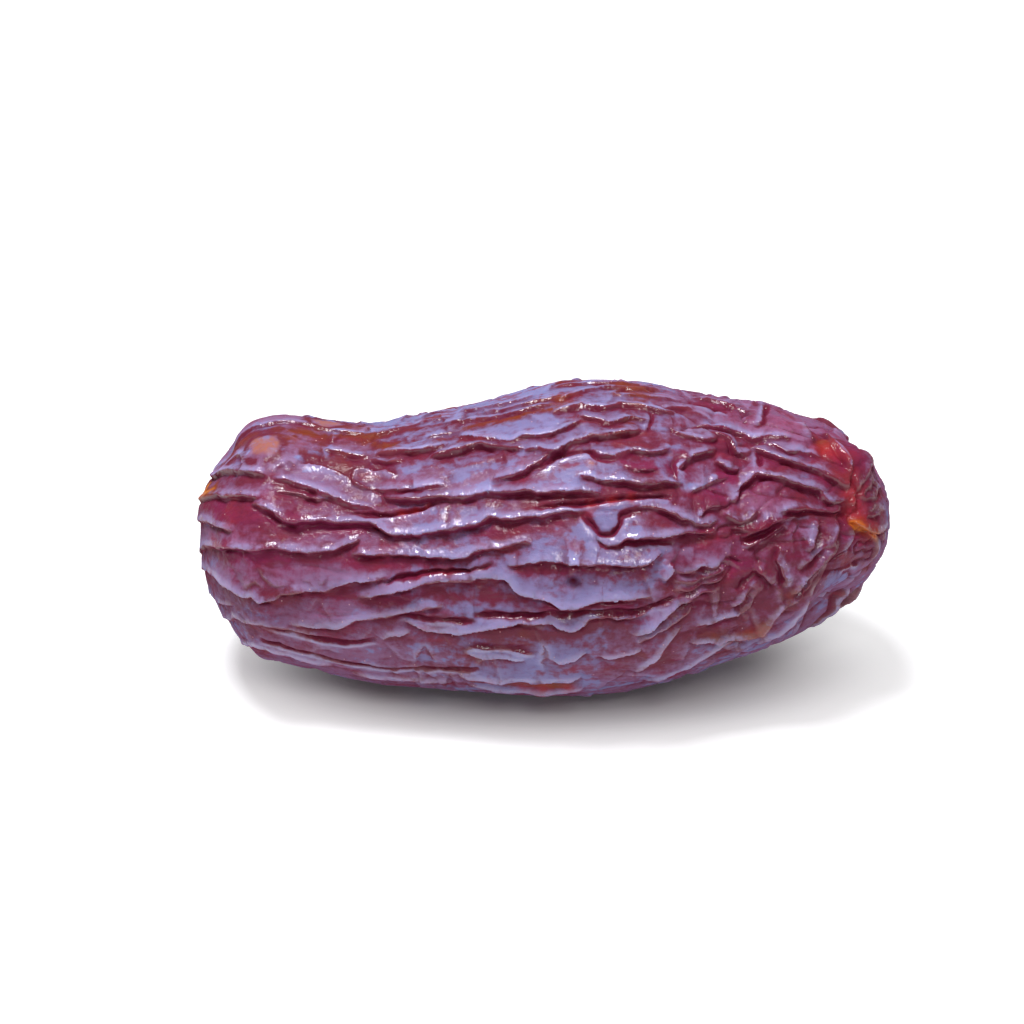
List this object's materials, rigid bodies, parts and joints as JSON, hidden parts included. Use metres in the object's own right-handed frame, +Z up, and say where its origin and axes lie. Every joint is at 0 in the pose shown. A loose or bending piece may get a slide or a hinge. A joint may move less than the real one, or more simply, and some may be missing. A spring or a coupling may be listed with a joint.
{
  "type": "medjool date",
  "caption": "Whole dried medjool date with a wrinkled, folded skin, lying on a flat spot pressed into its underside.",
  "frame": {"origin": "on the surface that the date rests on, under the middle of its box", "axes": "+X along the date towards the stalk end, +Z up, -Y towards the side that shows the stalk scar"},
  "size_m": [0.0498, 0.0232, 0.0229],
  "materials": {
    "date_skin": "glossy red-brown folds with a soft lavender bloom on the smooth skin between them"
  },
  "bodies": {
    "root": {"date_fruit": "date_skin"}
  },
  "joints": []
}
